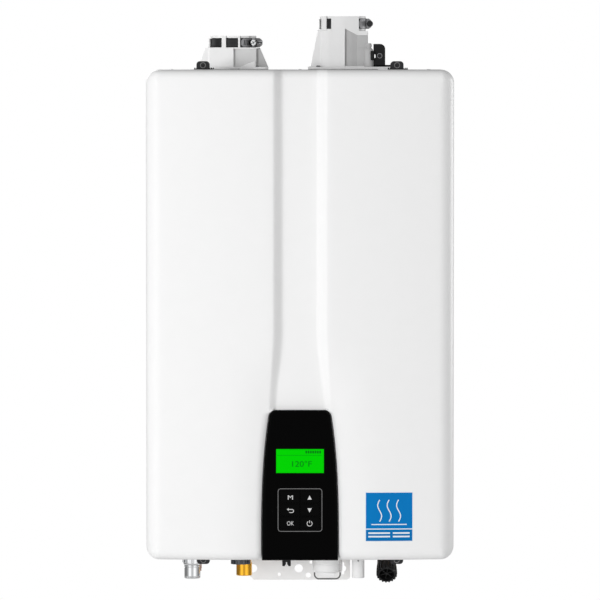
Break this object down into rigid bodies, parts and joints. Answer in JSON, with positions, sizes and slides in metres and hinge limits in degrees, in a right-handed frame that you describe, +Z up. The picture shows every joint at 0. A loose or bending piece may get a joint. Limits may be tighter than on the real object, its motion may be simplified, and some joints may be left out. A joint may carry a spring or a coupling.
{
  "type": "tankless water heater",
  "caption": "Wall-hung condensing gas water heater: white cabinet with a grooved front, a black control panel, vent collars on top and pipe fittings below.",
  "frame": {"origin": "middle of the upper wall bracket's back, on the wall", "axes": "+X to the right of someone facing the unit, +Y into the wall, +Z up"},
  "size_m": [0.44, 0.3355, 0.836],
  "materials": {
    "white_paint": "smooth powder-coated sheet steel, satin",
    "light_grey_paint": "light grey coated sheet steel",
    "gloss_black": "polished black plastic",
    "green_window": "backlit green display behind clear plastic",
    "circuit_board": "green circuit board",
    "black_rubber": "soft black rubber",
    "black_plastic": "moulded black nylon",
    "white_plastic": "moulded white plastic",
    "grey_plastic": "moulded grey plastic",
    "zinc": "zinc-plated steel",
    "chrome": "bright plated fitting",
    "brass": "machined brass",
    "copper": "drawn copper, slightly dull",
    "stainless": "pressed stainless steel",
    "cast_metal": "die-cast aluminium"
  },
  "bodies": {
    "cabinet": {"rear_case": "white_paint", "front_cover": "white_paint", "cover_gasket": "black_rubber", "upper_wall_bracket": "zinc", "lower_wall_bracket": "light_grey_paint", "panel_bezel": "gloss_black", "display_window": "green_window", "display_board": "circuit_board", "keypad_frame": "grey_plastic", "intake_collar": "white_plastic", "intake_gasket": "black_rubber", "intake_clamp_band": "zinc", "exhaust_collar": "white_plastic", "exhaust_gasket": "black_rubber", "exhaust_clamp_band": "zinc", "port_bracket": "black_plastic", "upper_left_latch_base": "black_plastic", "upper_right_latch_base": "black_plastic", "lower_left_latch_base": "black_plastic", "lower_right_latch_base": "black_plastic", "hot_water_outlet": "chrome", "recirculation_fitting": "copper", "gas_inlet_fitting": "brass", "cold_water_inlet": "brass", "condensate_outlet": "white_plastic", "condensate_trap": "white_plastic", "trap_cap": "white_plastic", "cord_clip": "black_plastic", "primary_heat_exchanger": "copper", "secondary_heat_exchanger": "stainless", "burner": "cast_metal", "exhaust_duct": "grey_plastic", "intake_duct": "grey_plastic", "fan_housing": "cast_metal", "fan_motor": "black_plastic", "flow_sensor": "black_plastic", "cold_water_pipe": "copper", "hot_water_pipe": "copper", "circulation_pump": "cast_metal", "gas_valve": "cast_metal", "gas_pipe": "brass", "gas_feed_pipe": "brass", "control_box": "black_plastic"},
    "menu_key": {"menu_key": "gloss_black"},
    "up_key": {"up_key": "gloss_black"},
    "back_key": {"back_key": "gloss_black"},
    "down_key": {"down_key": "gloss_black"},
    "enter_key": {"enter_key": "gloss_black"},
    "power_key": {"power_key": "gloss_black"},
    "upper_left_lever": {"upper_left_latch_lever": "black_plastic"},
    "upper_right_lever": {"upper_right_latch_lever": "black_plastic"},
    "lower_left_lever": {"lower_left_latch_lever": "black_plastic"},
    "lower_right_lever": {"lower_right_latch_lever": "black_plastic"},
    "trap_bail": {"trap_bail": "zinc"},
    "filter_knob": {"filter_knob": "black_plastic"},
    "drain_plug": {"drain_plug": "black_plastic"},
    "sampling_port": {"sampling_port": "grey_plastic"},
    "intake_clamp_screw": {"intake_clamp_screw": "zinc"},
    "exhaust_clamp_screw": {"exhaust_clamp_screw": "zinc"},
    "fan_impeller": {"fan_impeller": "grey_plastic"}
  },
  "joints": [
    {"name": "menu_key_press", "type": "slide", "parent": "cabinet", "child": "menu_key", "axis": [0, 1, 0], "range_m": [0, 0.0008], "stiffness_N_per_m": 500, "springref_m": -0.0006},
    {"name": "up_key_press", "type": "slide", "parent": "cabinet", "child": "up_key", "axis": [0, 1, 0], "range_m": [0, 0.0008], "stiffness_N_per_m": 500, "springref_m": -0.0006},
    {"name": "back_key_press", "type": "slide", "parent": "cabinet", "child": "back_key", "axis": [0, 1, 0], "range_m": [0, 0.0008], "stiffness_N_per_m": 500, "springref_m": -0.0006},
    {"name": "down_key_press", "type": "slide", "parent": "cabinet", "child": "down_key", "axis": [0, 1, 0], "range_m": [0, 0.0008], "stiffness_N_per_m": 500, "springref_m": -0.0006},
    {"name": "enter_key_press", "type": "slide", "parent": "cabinet", "child": "enter_key", "axis": [0, 1, 0], "range_m": [0, 0.0008], "stiffness_N_per_m": 500, "springref_m": -0.0006},
    {"name": "power_key_press", "type": "slide", "parent": "cabinet", "child": "power_key", "axis": [0, 1, 0], "range_m": [0, 0.0008], "stiffness_N_per_m": 500, "springref_m": -0.0006},
    {"name": "upper_left_latch", "type": "hinge", "parent": "cabinet", "child": "upper_left_lever", "pos_m": [-0.1393, -0.2321, 0.0743], "axis": [-1, 0, 0], "range_deg": [0, 100]},
    {"name": "upper_right_latch", "type": "hinge", "parent": "cabinet", "child": "upper_right_lever", "pos_m": [0.1393, -0.2321, 0.0743], "axis": [-1, 0, 0], "range_deg": [0, 100]},
    {"name": "lower_left_latch", "type": "hinge", "parent": "cabinet", "child": "lower_left_lever", "pos_m": [-0.1393, -0.2321, -0.6343], "axis": [1, 0, 0], "range_deg": [0, 100]},
    {"name": "lower_right_latch", "type": "hinge", "parent": "cabinet", "child": "lower_right_lever", "pos_m": [0.1393, -0.2321, -0.6343], "axis": [1, 0, 0], "range_deg": [0, 100]},
    {"name": "bail_swing", "type": "hinge", "parent": "cabinet", "child": "trap_bail", "pos_m": [0.03991, -0.15, -0.6378], "axis": [1, 0, 0], "range_deg": [-90, 90]},
    {"name": "filter_turn", "type": "hinge", "parent": "cabinet", "child": "filter_knob", "pos_m": [0.12681, -0.1112, -0.647], "axis": [0, -0.829, -0.5592], "continuous": true},
    {"name": "drain_plug_turn", "type": "hinge", "parent": "cabinet", "child": "drain_plug", "pos_m": [-0.08659, -0.145, -0.63], "axis": [0, 0, 1], "continuous": true},
    {"name": "port_cap_turn", "type": "hinge", "parent": "cabinet", "child": "sampling_port", "pos_m": [0.1, -0.1342, 0.09], "axis": [0, 0, 1], "continuous": true},
    {"name": "intake_clamp_turn", "type": "hinge", "parent": "cabinet", "child": "intake_clamp_screw", "pos_m": [-0.06119, -0.10688, 0.10855], "axis": [-0.4226, -0.9063, 0], "continuous": true},
    {"name": "exhaust_clamp_turn", "type": "hinge", "parent": "cabinet", "child": "exhaust_clamp_screw", "pos_m": [0.10263, -0.09139, 0.1362], "axis": [-0.0349, -0.9994, 0], "continuous": true},
    {"name": "fan_spin", "type": "hinge", "parent": "cabinet", "child": "fan_impeller", "pos_m": [-0.09739, -0.15, -0.07], "axis": [0, 1, 0], "continuous": true}
  ]
}
